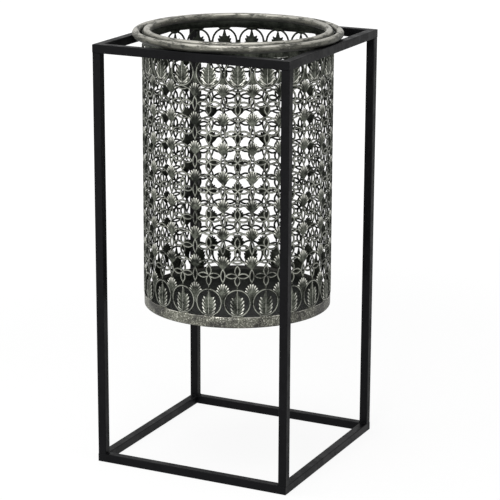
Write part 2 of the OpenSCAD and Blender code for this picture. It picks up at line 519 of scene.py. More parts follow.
class ReliefMesh:
    """Flat pressed metal that is later bent round the drum.

    It is drawn in metres in the X-Z plane, seen from -Y. The sheet's inner face is y = 0 and its relief
    stands towards -Y. Every vertex has a relief value, 0 in the hollows and on the inner face and 1 on the
    crests; the bright crests are partly rubbed wear and partly painted highlight.
    """

    def __init__(self) -> None:
        """Starts empty."""
        self.vertices: list[np.ndarray] = []
        self.faces: list[list[int]] = []
        self.relief: list[float] = []

    def _take(self, vertices: np.ndarray, relief: np.ndarray) -> int:
        """Adds vertices.

        Args:
            vertices: their coordinates, n by 3.
            relief: their relief values.

        Returns:
            The number of the first one.
        """
        first = len(self.relief)
        self.vertices.extend(vertices)
        self.relief.extend(float(value) for value in relief)
        return first

    def strip(
        self,
        line: np.ndarray,
        widths: np.ndarray | float,
        heights: np.ndarray | float,
        closed: bool = False,
        shine: np.ndarray | float = 1.0,
        section: Section = Section(),
    ) -> None:
        """Sweeps a ridge along a line.

        Args:
            line: the ridge's middle, n by 2, as x and z.
            widths: its width, one for all points or one for each.
            heights: its height over the sheet's inner face, likewise.
            closed: whether the line's end joins its start.
            shine: a factor on the relief values, likewise.
            section: the ridge's cross-section.
        """
        count = len(line)
        widths, heights, shine = (np.broadcast_to(v, count) for v in (widths, heights, shine))
        before = np.roll(line, 1, axis=0) if closed else np.vstack([line[:1], line[:-1]])
        after = np.roll(line, -1, axis=0) if closed else np.vstack([line[1:], line[-1:]])
        into, out = line - before, after - line
        if not closed:
            into[0], out[-1] = out[0], into[-1]
        into /= np.linalg.norm(into, axis=1, keepdims=True)
        out /= np.linalg.norm(out, axis=1, keepdims=True)
        tangent = into + out
        length = np.linalg.norm(tangent, axis=1, keepdims=True)
        tangent /= length
        mitre = np.minimum(2.0 / length[:, 0], MITRE_LIMIT)
        normal = np.stack([-tangent[:, 1], tangent[:, 0]], axis=1) * mitre[:, None]
        across, rise, glow = (np.array(v) for v in (section.across, section.height, section.relief))
        sides = len(across)
        flat = line[:, None, :] + normal[:, None, :] * (across[None, :, None] * widths[:, None, None])
        points = np.empty((count, sides, 3))
        points[:, :, 0] = flat[:, :, 0]
        points[:, :, 1] = -heights[:, None] * rise[None, :]
        points[:, :, 2] = flat[:, :, 1]
        first = self._take(points.reshape(-1, 3), (shine[:, None] * glow[None, :]).reshape(-1))
        for i in range(count if closed else count - 1):
            a, b = first + i * sides, first + (i + 1) % count * sides
            for j in range(sides):
                k = (j + 1) % sides
                self.faces.append([a + j, a + k, b + k, b + j])
        if not closed:
            self.faces.append([first + j for j in range(sides)])
            self.faces.append([first + (count - 1) * sides + j for j in range(sides)])

    def plate(self, outline: np.ndarray, height: float, bevel: float, relief: float) -> None:
        """Adds a flat plate with a bevelled edge.

        Args:
            outline: its outline at the foot in order, n by 2, as x and z.
            height: its thickness.
            bevel: how far its top edge is drawn in.
            relief: the relief value of its top.
        """
        count = len(outline)
        along = np.roll(outline, -1, axis=0) - np.roll(outline, 1, axis=0)
        along /= np.linalg.norm(along, axis=1, keepdims=True)
        x, z = outline[:, 0], outline[:, 1]
        turn = np.sign(np.sum(x * np.roll(z, -1) - z * np.roll(x, -1)))
        inner = outline + turn * bevel * np.column_stack([-along[:, 1], along[:, 0]])
        shoulder, shoulder_relief = 0.7 * height, 0.6 * relief
        rings = ((outline, 0.0, 0.0), (outline, shoulder, shoulder_relief), (inner, height, relief))
        first = len(self.relief)
        for ring, y, value in rings:
            points = np.column_stack([ring[:, 0], np.full(count, -y), ring[:, 1]])
            self._take(points, np.full(count, value))
        for level in range(len(rings) - 1):
            a, b = first + level * count, first + (level + 1) * count
            for i in range(count):
                j = (i + 1) % count
                self.faces.append([a + i, a + j, b + j, b + i])
        self.faces.append([first + i for i in range(count)])
        self.faces.append([first + (len(rings) - 1) * count + i for i in range(count)])

    def flipped(self) -> "ReliefMesh":
        """Gives a copy that is turned upside down."""
        copy = ReliefMesh()
        copy.vertices = [vertex * np.array([1.0, 1.0, -1.0]) for vertex in self.vertices]
        copy.faces, copy.relief = self.faces, self.relief
        return copy

    def to_object(self, name: str) -> bpy.types.Object:
        """Makes the Blender object of that name."""
        return relief_object(name, [tuple(v) for v in self.vertices], self.faces, self.relief)


def relief_object(
    name: str,
    vertices: list[tuple[float, ...]],
    faces: list[list[int]],
    relief: list[float],
    merge: float | None = None,
) -> bpy.types.Object:
    """Makes an object with outward normals, smooth shading and the relief attribute.

    Args:
        name: the object's name.
        vertices: its points.
        faces: each face's points by number.
        relief: each point's relief value.
        merge: the distance within which points are joined, where they are.

    Returns:
        The object.
    """
    mesh = bpy.data.meshes.new(name)
    mesh.from_pydata(vertices, [], faces)
    mesh.attributes.new(RELIEF, "FLOAT", "POINT").data.foreach_set("value", relief)
    editable = bmesh.new()
    editable.from_mesh(mesh)
    if merge is not None:
        bmesh.ops.remove_doubles(editable, verts=editable.verts, dist=merge)
    bmesh.ops.recalc_face_normals(editable, faces=editable.faces)
    bmesh.ops.triangulate(editable, faces=[face for face in editable.faces if len(face.verts) > 4])
    editable.to_mesh(mesh)
    editable.free()
    mesh.shade_smooth()
    piece = bpy.data.objects.new(name, mesh)
    bpy.context.collection.objects.link(piece)
    return piece


def lathe(name: str, profile: list[Spot], segments: int) -> bpy.types.Object:
    """Turns a closed profile about the Z axis.

    Args:
        name: the object's name.
        profile: radius, height and relief of each point, in order round the section.
        segments: the number of steps round the axis.

    Returns:
        The closed ring or disc; points at radius 0 are merged into a pole.
    """
    sides = len(profile)
    angles = np.arange(segments) * 2.0 * math.pi / segments
    vertices = [(r * math.cos(angle), r * math.sin(angle), z) for angle in angles for r, z, _ in profile]
    relief = [value for _ in angles for _, _, value in profile]
    faces = []
    for i in range(segments):
        a, b = i * sides, (i + 1) % segments * sides
        for j in range(sides):
            k = (j + 1) % sides
            if profile[j][0] == 0.0 and profile[k][0] == 0.0:
                continue
            faces.append([a + j, a + k, b + k, b + j])
    return relief_object(name, vertices, faces, relief, merge=POLE_MERGE)


def pointed_oval(length: float, half_width: float, steps: int, power: float = 1.0) -> np.ndarray:
    """Draws a closed pointed oval along +Z from the origin.

    Args:
        length: the distance between its tips.
        half_width: half of its greatest width.
        steps: the number of steps along each side.
        power: below 1 its tips are blunter, above 1 sharper.

    Returns:
        Its points in order, as x and z.
    """
    share = 0.5 - 0.5 * np.cos(np.linspace(0.0, math.pi, steps + 1))
    side = half_width * np.sin(math.pi * share) ** power
    right = np.column_stack([side, share * length])
    left = np.column_stack([-side[1:-1], share[1:-1] * length])[::-1]
    return np.vstack([right, left])


def turned(points: np.ndarray, degrees: float, move: Point = (0.0, 0.0)) -> np.ndarray:
    """Turns flat points anticlockwise about the origin and then moves them.

    Args:
        points: n by 2.
        degrees: the angle.
        move: the shift in x and z.

    Returns:
        The new points.
    """
    c, s = math.cos(math.radians(degrees)), math.sin(math.radians(degrees))
    return points @ np.array([[c, s], [-s, c]]) + np.array(move)


# ---------------------------------------------------------------------------------------------
# Geometry Nodes
# ---------------------------------------------------------------------------------------------


class NodeTool:
    """A Geometry Nodes tree with named inputs, applied to an object and then baked to a plain mesh."""

    def __init__(self, name: str, inputs: dict[str, str]) -> None:
        """Makes the tree and its sockets.

        Args:
            name: the tree's name.
            inputs: each input's name and socket type, after the geometry.
        """
        self.tree = bpy.data.node_groups.new(name, "GeometryNodeTree")
        face = self.tree.interface
        face.new_socket("Geometry", in_out="INPUT", socket_type="NodeSocketGeometry")
        self.keys = {
            label: face.new_socket(label, in_out="INPUT", socket_type=kind).identifier
            for label, kind in inputs.items()
        }
        face.new_socket("Geometry", in_out="OUTPUT", socket_type="NodeSocketGeometry")
        self.graph = Graph(self.tree)
        self.given = self.graph.add("NodeGroupInput").outputs
        self.leave = self.graph.add("NodeGroupOutput")

    def circle(self, steps: object, radius: Socket) -> Socket:
        """Adds a circle.

        Args:
            steps: its number of points, a number or a socket.
            radius: its radius.

        Returns:
            The curve's socket.
        """
        feeds = {"Resolution": steps, "Radius": radius}
        return self.graph.add("GeometryNodeCurvePrimitiveCircle", feeds).outputs[0]

    def paint_light_by_facing(self, geometry: Socket) -> Socket:
        """Writes the relief attribute from how far up each point faces, and shades smoothly.

        Args:
            geometry: the mesh.

        Returns:
            The mesh's socket.
        """
        # Painted light: relief rises as a point faces up, which gives tops a painted highlight (partly
        # rubbed wear) and undersides painted shade.
        normal = self.graph.add("GeometryNodeInputNormal").outputs[0]
        up = self.graph.add("ShaderNodeSeparateXYZ", {0: normal}).outputs["Z"]
        stored = self.graph.add(
            "GeometryNodeStoreNamedAttribute",
            {"Geometry": geometry, "Name": RELIEF, "Value": self.graph.remap(up, -0.9, 1.0)},
            data_type="FLOAT",
            domain="POINT",
        )
        return self.graph.add("GeometryNodeSetShadeSmooth", {"Geometry": stored.outputs[0]}).outputs[0]

    def finish(self, geometry: Socket) -> None:
        """Ends the tree with real geometry and its material.

        Args:
            geometry: the geometry to put out.
        """
        real = self.graph.add("GeometryNodeRealizeInstances", {"Geometry": geometry})
        dressed = self.graph.add(
            "GeometryNodeSetMaterial", {"Geometry": real.outputs[0], "Material": self.given["Material"]}
        )
        self.tree.links.new(dressed.outputs[0], self.leave.inputs[0])

    def bake(self, piece: bpy.types.Object, name: str, values: dict[str, object]) -> bpy.types.Object:
        """Runs the tree on an object and keeps the result as a plain mesh.

        Args:
            piece: the object that the tree works on; it is removed.
            name: the new object's name.
            values: what each named input gets.

        Returns:
            The new object, without modifiers.
        """
        modifier = piece.modifiers.new(self.tree.name, "NODES")
        modifier.node_group = self.tree
        for label, value in values.items():
            modifier[self.keys[label]] = value
        depsgraph = bpy.context.evaluated_depsgraph_get()
        mesh = bpy.data.meshes.new_from_object(
            piece.evaluated_get(depsgraph), preserve_all_data_layers=True, depsgraph=depsgraph
        )
        mesh.name = name
        mesh.materials.clear()
        mesh.materials.append(values["Material"])
        made = bpy.data.objects.new(name, mesh)
        bpy.context.collection.objects.link(made)
        bpy.data.objects.remove(piece)
        return made


class DrumWrap(NodeTool):
    """Repeats a flat motif in columns and rows and bends the result round the drum."""

    def __init__(self) -> None:
        """Builds the tree."""
        super().__init__(
            "DrumWrap",
            {
                "Columns": "NodeSocketInt",
                "Rows": "NodeSocketInt",
                "Pitch": "NodeSocketFloat",
                "Row Pitch": "NodeSocketFloat",
                "First Height": "NodeSocketFloat",
                "Radius": "NodeSocketFloat",
                "Turn": "NodeSocketFloat",
                "Dent Depth": "NodeSocketFloat",
                "Dent Scale": "NodeSocketFloat",
                "Material": "NodeSocketMaterial",
            },
        )
        graph, given = self.graph, self.given
        total = graph.math("MULTIPLY", given["Columns"], given["Rows"])
        index = graph.add("GeometryNodeInputIndex").outputs[0]
        column = graph.math("MODULO", index, given["Columns"])
        row = graph.math("FLOOR", graph.math("DIVIDE", index, given["Columns"]))
        x = graph.math("MULTIPLY", column, given["Pitch"])
        z = graph.math("ADD", graph.math("MULTIPLY", row, given["Row Pitch"]), given["First Height"])
        place = graph.add("ShaderNodeCombineXYZ", {"X": x, "Z": z})
        points = graph.add("GeometryNodePoints", {"Count": total, "Position": place.outputs[0]})
        copies = graph.add(
            "GeometryNodeInstanceOnPoints", {"Points": points.outputs[0], "Instance": given["Geometry"]}
        )
        real = graph.add("GeometryNodeRealizeInstances", {"Geometry": copies.outputs[0]})
        position = graph.add("GeometryNodeInputPosition").outputs[0]
        flat = graph.add("ShaderNodeSeparateXYZ", {0: position}).outputs
        angle = graph.math("ADD", graph.math("DIVIDE", flat["X"], given["Radius"]), given["Turn"])
        sine, cosine = graph.math("SINE", angle), graph.math("COSINE", angle)
        spot = graph.add("ShaderNodeCombineXYZ", {"X": sine, "Y": cosine, "Z": flat["Z"]}).outputs[0]
        wander = graph.add(
            "ShaderNodeTexNoise", {"Vector": spot, "Scale": given["Dent Scale"], "Detail": 2.0}
        ).outputs[0]
        dent = graph.math("MULTIPLY", graph.math("SUBTRACT", wander, 0.5), given["Dent Depth"])
        radius = graph.math("ADD", graph.math("SUBTRACT", given["Radius"], flat["Y"]), dent)
        bent = graph.add(
            "ShaderNodeCombineXYZ",
            {
                "X": graph.math("MULTIPLY", radius, sine),
                "Y": graph.math("MULTIPLY", graph.math("MULTIPLY", radius, cosine), -1.0),
                "Z": flat["Z"],
            },
        )
        feeds = {"Geometry": real.outputs[0], "Position": bent.outputs[0]}
        self.finish(graph.add("GeometryNodeSetPosition", feeds).outputs[0])


class BentTube(NodeTool):
    """Bends a round tube into a closed ring that wanders a little from a true circle."""

    wander_scale = 9.0

    def __init__(self) -> None:
        """Builds the tree."""
        super().__init__(
            "BentTube",
            {
                "Ring Radius": "NodeSocketFloat",
                "Tube Radius": "NodeSocketFloat",
                "Height": "NodeSocketFloat",
                "Steps": "NodeSocketInt",
                "Sides": "NodeSocketInt",
                "Wander": "NodeSocketFloat",
                "Seed": "NodeSocketFloat",
                "Material": "NodeSocketMaterial",
            },
        )
        graph, given = self.graph, self.given
        ring = self.circle(given["Steps"], given["Ring Radius"])
        position = graph.add("GeometryNodeInputPosition").outputs[0]
        noise = graph.add(
            "ShaderNodeTexNoise",
            {"Vector": position, "W": given["Seed"], "Scale": self.wander_scale, "Detail": 1.0},
            noise_dimensions="4D",
        )
        centred = graph.vector_math("SUBTRACT", {0: noise.outputs["Color"], 1: (0.5, 0.5, 0.5)})
        sway = graph.vector_math("SCALE", {0: centred, "Scale": given["Wander"]})
        lift = graph.add("ShaderNodeCombineXYZ", {"Z": given["Height"]}).outputs[0]
        offset = graph.vector_math("ADD", {0: sway, 1: lift})
        moved = graph.add("GeometryNodeSetPosition", {"Geometry": ring, "Offset": offset}).outputs[0]
        profile = self.circle(given["Sides"], given["Tube Radius"])
        swept = graph.add("GeometryNodeCurveToMesh", {"Curve": moved, "Profile Curve": profile}).outputs[0]
        self.finish(self.paint_light_by_facing(swept))


@dataclass(frozen=True)
class Bead:
    """The size of a bead of weld: its radius, the step along it, its lumps' height and their scale."""

    radius: float
    step: float
    lumps: float
    lump_scale: float


class WeldBead(NodeTool):
    """Lays lumpy beads of weld along the edges of a wire mesh."""

    sides = 10
    end_round = 1.05

    def __init__(self) -> None:
        """Builds the tree."""
        super().__init__(
            "WeldBead",
            {
                "Bead Radius": "NodeSocketFloat",
                "Step": "NodeSocketFloat",
                "Lumps": "NodeSocketFloat",
                "Lump Scale": "NodeSocketFloat",
                "Material": "NodeSocketMaterial",
            },
        )
        graph, given = self.graph, self.given
        paths = graph.add("GeometryNodeMeshToCurve", {"Mesh": given["Geometry"]})
        feeds = {"Curve": paths.outputs[0], "Length": given["Step"]}
        even = graph.add("GeometryNodeResampleCurve", feeds, mode="LENGTH").outputs[0]
        factor = graph.add("GeometryNodeSplineParameter").outputs["Factor"]
        centred = graph.math("SUBTRACT", graph.math("MULTIPLY", factor, 2.0), 1.0)
        fall = graph.math("POWER", graph.math("ABSOLUTE", centred), 4.0)
        taper = graph.math("SQRT", graph.math("SUBTRACT", self.end_round, fall))
        sized = graph.add("GeometryNodeSetCurveRadius", {"Curve": even, "Radius": taper}).outputs[0]
        profile = self.circle(self.sides, given["Bead Radius"])
        feeds = {"Curve": sized, "Profile Curve": profile, "Scale": taper, "Fill Caps": True}
        swept = graph.add("GeometryNodeCurveToMesh", feeds).outputs[0]
        position = graph.add("GeometryNodeInputPosition").outputs[0]
        feeds = {"Vector": position, "Scale": given["Lump Scale"], "Detail": 1.0}
        lumps = graph.add("ShaderNodeTexNoise", feeds).outputs[0]
        size = graph.math("MULTIPLY", graph.math("SUBTRACT", lumps, 0.5), given["Lumps"])
        normal = graph.add("GeometryNodeInputNormal").outputs[0]
        push = graph.vector_math("SCALE", {0: normal, "Scale": size})
        moved = graph.add("GeometryNodeSetPosition", {"Geometry": swept, "Offset": push}).outputs[0]
        self.finish(self.paint_light_by_facing(moved))

    def lay(
        self, node: str, paths: list[list[Spot]], bead: Bead, material: bpy.types.Material
    ) -> bpy.types.Object:
        """Lays one bead along each path.

        Args:
            node: the solid that the beads stand for.
            paths: the points of each path, in metres.
            bead: the bead's size.
            material: its finish.

        Returns:
            The beads as one piece.
        """
        return self.bake(
            wire_piece(node + "_paths", paths),
            node + "_beads",
            {
                "Bead Radius": bead.radius,
                "Step": bead.step,
                "Lumps": bead.lumps,
                "Lump Scale": bead.lump_scale,
                "Material": material,
            },
        )


def wire_piece(name: str, paths: list[list[Spot]]) -> bpy.types.Object:
    """Makes an object of bare edges.

    Args:
        name: the object's name.
        paths: the points of each path, in metres.

    Returns:
        The object.
    """
    piece = empty_piece(name)
    edges, first = [], 0
    for path in paths:
        edges.extend((first + i, first + i + 1) for i in range(len(path) - 1))
        first += len(path)
    piece.data.from_pydata([point for path in paths for point in path], edges, [])
    return piece


def empty_piece(name: str) -> bpy.types.Object:
    """Makes an object with no faces, for a tree that draws its own geometry.

    Args:
        name: the object's name.

    Returns:
        The object.
    """
    piece = bpy.data.objects.new(name, bpy.data.meshes.new(name))
    bpy.context.collection.objects.link(piece)
    return piece


def settle(piece: bpy.types.Object, body: Body, slot: Slot, *nodes: str) -> None:
    """Puts a finished piece on its body and hides the solids that it stands for.

    Args:
        piece: the finished piece.
        body: the body that carries it.
        slot: the finish that it takes; not used.
        nodes: the solids that it replaces.
    """
    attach(piece, body.value)
    if nodes:
        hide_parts(*nodes)
    log.info("%s: %d faces", piece.name, len(piece.data.polygons))


# ---------------------------------------------------------------------------------------------
# The drum
# ---------------------------------------------------------------------------------------------


@dataclass
class Drum:
    """The pierced and pressed sheet, with its hem and collar.

    Sizes are those of the flat sheet. Ridge is how high the wires and ribs stand over the sheet's
    inner face, and a name that ends in high or low is a factor on it. Stem_slim is a factor on the
    wire's width and foot_thick one on the sheet. A shine or relief value says how bright a stretch is
    made: partly rubbed wear and partly painted highlight, while the collar's low relief is painted shade.
    """

    finishes: Finishes
    wrap: DrumWrap
    columns: int = 21
    rows: int = 7
    row_pitch: float = 36.2 * MM
    turn_degrees: float = 26.3
    hem_height: float = 14.4 * MM
    collar_height: float = 14.8 * MM
    medallion_height: float = 36.6 * MM
    lower_link: float = 17.0 * MM
    upper_link: float = 19.8 * MM
    sheet: float = 0.8 * MM
    ridge: float = 1.25 * MM
    wire: float = 2.5 * MM
    petal_length: float = 12.9 * MM
    petal_half_width: float = 3.15 * MM
    loop_wire: float = 2.2 * MM
    loop_length: float = 16.4 * MM
    loop_half_width: float = 2.7 * MM
    eye_length: float = 14.4 * MM
    eye_half_width: float = 2.15 * MM
    medallion_wire: float = 2.5 * MM
    medallion_gap: float = 0.8 * MM
    medallion_high: float = 1.05
    medallion_steps: int = 44
    midrib_high: float = 1.1
    eye_low: float = 0.95
    stem_slim: float = 0.9
    stem_low: float = 0.85
    stem_lap: float = 0.97
    stem_reach: float = 16.6 * MM
    side_gap: float = 1.2 * MM
    loop_stem: float = 2.0 * MM
    lap: float = 0.6 * MM
    link_gap: float = 6.6 * MM
    link_drop: float = 0.8 * MM
    fan_root: float = 6.5 * MM
    flute_width: float = 2.4 * MM
    lobe_width: float = 2.5 * MM
    cup_rib_width: float = 2.1 * MM
    cup_rib_high: float = 1.12
    foot_half_width: float = 8.4 * MM
    foot_thick: float = 1.06
    bead: float = 1.3 * MM
    bead_inset: float = 0.45
    bead_rise: float = 0.35 * MM
    web_near: float = 1.6 * MM
    web_far: float = 12.5 * MM
    wire_shine: float = 0.78
    stem_shine: float = 0.7
    link_shine: float = 0.8
    leaf_relief: float = 0.42
    flat_relief: float = 0.5
    # Painted shade: the collar under the hanger ring gets this low relief, so it renders darker.
    collar_shade_relief: float = 0.3
    edge_in: float = 0.2 * MM
    edge_up: float = 0.3 * MM
    dent_depth: float = 0.35 * MM
    dent_scale: float = 3.0
    band_steps: int = 252

    def __post_init__(self) -> None:
        """Reads the drum's place from its solid."""
        low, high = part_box("pierced_drum")
        self.radius = (high.x - low.x) / 2
        self.inner_radius = self.radius - self.sheet
        self.bottom, self.top = low.z, high.z
        self.pitch = 2.0 * math.pi * self.inner_radius / self.columns
        self.lower_medallion = self.bottom + self.hem_height + self.medallion_height / 2
        self.first_row = self.lower_medallion + self.medallion_height / 2 + self.lower_link
        self.last_row = self.first_row + (self.rows - 1) * self.row_pitch
        self.upper_medallion = self.last_row + self.upper_link + self.medallion_height / 2

    def repeat(
        self,
        motif: ReliefMesh,
        name: str,
        first: float,
        rows: int = 1,
        half: bool = False,
        plain: bool = False,
    ) -> bpy.types.Object:
        """Repeats a motif round the drum.

        Args:
            motif: the flat motif.
            name: the piece's name.
            first: the height of the lowest row.
            rows: the number of rows.
            half: whether the columns are shifted by half a pitch.
            plain: whether it has the finish of the plain bands.

        Returns:
            The bent piece.
        """
        shift = self.pitch / 2 / self.inner_radius if half else 0.0
        return self.wrap.bake(
            motif.to_object(name + "_flat"),
            name,
            {
                "Columns": self.columns,
                "Rows": rows,
                "Pitch": self.pitch,
                "Row Pitch": self.row_pitch,
                "First Height": first,
                "Radius": self.inner_radius,
                "Turn": math.radians(self.turn_degrees) + shift,
                "Dent Depth": self.dent_depth,
                "Dent Scale": self.dent_scale,
                "Material": self.finishes.band if plain else self.finishes.filigree,
            },
        )

    def quatrefoil(self) -> ReliefMesh:
        """Draws four wire petals that cross in the middle, with a stem at the top and bottom tips.

        Returns:
            The motif, centred on its crossing.
        """
        motif = ReliefMesh()
        side_length = self.pitch / 2 - self.loop_half_width - self.side_gap
        for quarter in range(4):
            length = side_length if quarter % 2 else self.petal_length
            petal = pointed_oval(length, self.petal_half_width, steps=9, power=0.8)
            petal = turned(petal, 90.0 * quarter)
            motif.strip(petal, self.wire, self.ridge, closed=True, shine=self.wire_shine)
        self._stems(motif, self.petal_length - self.lap, self.stem_reach)
        return motif

    def _stems(self, motif: ReliefMesh, start: float, end: float) -> None:
        """Adds a stem above and one below a motif.

        Args:
            motif: the motif, centred on the origin.
            start: how far from the centre the stems start.
            end: how far from it they end.
        """
        for sign in (-1.0, 1.0):
            line = np.array([[0.0, sign * start], [0.0, sign * end]])
            motif.strip(line, self.wire * self.stem_slim, self.ridge * self.stem_low, shine=self.stem_shine)

    def upright_loop(self) -> ReliefMesh:
        """Draws the pointed loop between two quatrefoils, with its stems up and down.

        Returns:
            The motif, centred on the loop.
        """
        motif = ReliefMesh()
        half = self.loop_length / 2
        loop = pointed_oval(self.loop_length, self.loop_half_width, steps=12, power=0.8)
        loop = turned(loop, 0.0, (0.0, -half))
        motif.strip(loop, self.loop_wire, self.ridge, closed=True, shine=self.wire_shine)
        self._stems(motif, half * self.stem_lap, half + self.loop_stem)
        return motif

    def eye(self) -> ReliefMesh:
        """Draws the lying loop between two rows, with a link to the fan on each side.

        Returns:
            The motif, centred on the loop.
        """
        motif = ReliefMesh()
        oval = pointed_oval(self.eye_length, self.eye_half_width, steps=8, power=0.9)
        oval = turned(oval, 90.0, (self.eye_length / 2, 0.0))
        motif.strip(oval, self.loop_wire, self.ridge * self.eye_low, closed=True, shine=self.wire_shine)
        for sign in (-1.0, 1.0):
            start, end = self.eye_length / 2 - self.lap, self.pitch / 2 - self.link_gap
            line = np.array([[sign * start, 0.0], [sign * end, -self.link_drop]])
            motif.strip(line, self.wire, self.ridge * self.stem_low, shine=self.link_shine)
        return motif

    def fan(self) -> ReliefMesh:
        """Draws a small palmette of eight flutes on a tapering body.

        Returns:
            The motif, centred between four quatrefoils.
        """
        motif = ReliefMesh()
        root = np.array([0.0, -self.fan_root])
        half = np.array([(1.7, 7.5), (4.8, 5.7), (7.2, 2.7), (8.4, -0.9)]) * MM
        tips = np.vstack([half[::-1] * np.array([-1.0, 1.0]), half])
        side = [(7.6, -2.9), (6.4, -4.8), (4.2, -6.9), (2.0, -8.8), (1.1, -10.4)]
        body = [(x * MM, z * MM) for x, z in side] + [(-x * MM, z * MM) for x, z in reversed(side)]
        for reach, rise, glow in ((0.88, self.sheet * 0.9, 0.14), (0.42, self.sheet, 0.55)):
            edge = root + (tips - root) * reach
            motif.plate(np.vstack([edge, body]), rise, bevel=0.25 * MM, relief=glow)
        share = np.array([0.34, 0.56, 0.68, 0.80, 0.94, 1.0])
        widths = np.array([0.35, 0.60, 0.80, 1.0, 0.95, 0.5]) * self.flute_width
        heights = np.array([0.70, 0.80, 0.92, 1.10, 1.10, 0.85]) * self.ridge
        for number, tip in enumerate(tips):
            line = root + (tip - root) * share[:, None]
            # Painted highlight: shine rises towards each flute's tip, and the two upright middle flutes get
            # a quarter more.
            shine = np.array([0.55, 0.62, 0.74, 1.05, 1.2, 1.1]) * (1.25 if number in (3, 4) else 1.0)
            motif.strip(line, widths, heights, shine=shine, section=Section.broad())
        for lean in (-1.0, 0.0, 1.0):
            line = np.array([[lean * 2.4, -2.6], [lean * 1.4, -5.4], [lean * 0.25, -8.6]]) * MM
            widths, heights = np.array([1.5, 1.2, 0.6]) * MM, np.array([0.95, 1.0, 0.95]) * MM
            motif.strip(line, widths, heights, shine=0.6)
        return motif

    def medallion(self) -> ReliefMesh:
        """Draws a leaf in a round wire frame.

        Returns:
            The motif, centred on the frame.
        """
        motif = ReliefMesh()
        half_w, half_h = self._frame_size()
        turns = np.linspace(0.0, 2.0 * math.pi, self.medallion_steps, endpoint=False)
        ring = np.column_stack([half_w * np.sin(turns), half_h * np.cos(turns)])
        height = self.ridge * self.medallion_high
        motif.strip(ring, self.medallion_wire, height, closed=True, shine=self.wire_shine)
        self._leaf(motif)
        return motif

    def _frame_size(self) -> Point:
        """Gives the half width and half height of a medallion's frame, along the wire's middle."""
        half_w = self.pitch / 2 - self.medallion_gap - self.medallion_wire / 2
        return half_w, (self.medallion_height - self.medallion_wire) / 2

    def _leaf(self, motif: ReliefMesh) -> None:
        """Adds the upright leaf to a medallion.

        Args:
            motif: the medallion, centred on its frame.
        """
        right = [
            (8.6, -17.2), (7.0, -16.0), (5.6, -14.9), (5.4, -13.9), (6.8, -12.9), (8.0, -11.4),
            (8.0, -10.3), (6.9, -10.2), (6.5, -9.6), (7.9, -8.2), (9.0, -6.5), (8.9, -5.3),
            (7.6, -5.5), (7.0, -5.0), (8.2, -3.6), (9.4, -1.7), (9.3, -0.4), (8.0, -0.7),
            (7.2, -0.2), (8.2, 1.2), (9.0, 3.0), (8.8, 4.1), (7.4, 3.8), (6.4, 4.0),
            (7.0, 5.3), (7.6, 7.0), (7.2, 7.9), (5.6, 7.2), (3.8, 6.4), (2.9, 7.0),
            (2.4, 9.0), (1.7, 11.6), (1.1, 14.0), (0.6, 16.4),
        ]
        outline = right + [(-x, z) for x, z in reversed(right)]
        motif.plate(np.array(outline) * MM, self.sheet, bevel=0.15 * MM, relief=self.leaf_relief)
        midrib = np.array([(0.0, z) for z in (-15.6, -10.0, -4.0, 2.0, 8.0, 13.0, 16.4)]) * MM
        widths = np.array([1.3, 1.3, 1.2, 1.1, 1.0, 0.8, 0.8]) * MM
        motif.strip(midrib, widths, self.ridge * self.midrib_high)
        share = np.array([0.0, 0.3, 0.6, 0.82, 0.95, 1.0])
        # Painted highlight: the lower lobes get more shine, and each lobe's shine rises towards its tip.
        lobes = (
            ((0.7, -15.2), (7.4, -11.2), 1.15),
            ((0.7, -12.4), (8.4, -6.1), 1.05),
            ((0.7, -8.0), (8.7, -1.2), 1.0),
            ((0.7, -3.2), (8.2, 3.3), 1.0),
            ((0.7, 1.8), (6.7, 7.2), 0.95),
        )
        for sign in (-1.0, 1.0):
            for low, high, glow in lobes:
                a, b = np.array(low) * MM, np.array(high) * MM
                bow = np.array([0.10, -0.10]) * np.linalg.norm(b - a)
                line = a + (b - a) * share[:, None] + bow * (4.0 * share * (1.0 - share))[:, None]
                line[:, 0] *= sign
                widths = np.array([0.4, 0.7, 1.0, 1.0, 0.8, 0.45]) * self.lobe_width
                heights = np.array([0.68, 0.82, 1.0, 1.05, 0.9, 0.66]) * self.ridge
                shine = np.array([0.5, 0.62, 0.8, 1.0, 1.0, 0.9]) * glow
                motif.strip(line, widths, heights, shine=shine, section=Section.broad())

    def cup(self) -> ReliefMesh:
        """Draws the sheet that fills the foot of an upper medallion, with the two ribs that rise from it.

        Returns:
            The motif, centred on the medallion.
        """
        motif = ReliefMesh()
        half_w, half_h = self._frame_size()
        turns = np.radians(np.array([-58.0, -40.0, -20.0, 0.0, 20.0, 40.0, 58.0]))
        arc = np.column_stack([half_w * np.sin(turns), -half_h * np.cos(turns)])
        inside = [(8.2, -7.4), (5.6, -8.6), (3.2, -11.4), (-3.2, -11.4), (-5.6, -8.6), (-8.2, -7.4)]
        fill = np.vstack([arc, np.array(inside) * MM])
        motif.plate(fill, self.sheet, bevel=0.1 * MM, relief=self.leaf_relief)
        for sign in (-1.0, 1.0):
            line = np.array([(0.6, -13.8), (3.4, -12.4), (6.4, -10.0), (9.0, -7.2), (11.0, -4.2)]) * MM
            line[:, 0] *= sign
            widths = np.array([0.7, 1.0, 1.0, 0.9, 0.5]) * self.cup_rib_width
            height = self.ridge * self.cup_rib_high
            motif.strip(line, widths, height, shine=1.1, section=Section.broad())
        return motif

    def foot(self) -> ReliefMesh:
        """Draws the sheet that joins a medallion to the plain band under it.

        Returns:
            The motif, with the band's edge at height 0.
        """
        motif = ReliefMesh()
        right = np.array([(1.0, -0.4), (0.93, 0.6), (0.72, 1.7), (0.50, 2.6), (0.30, 3.4)])
        right = right * np.array([self.foot_half_width, MM])
        left = right[::-1] * np.array([-1.0, 1.0])
        height = self.sheet * self.foot_thick
        motif.plate(np.vstack([right, left]), height, bevel=0.1 * MM, relief=self.flat_relief)
        return motif

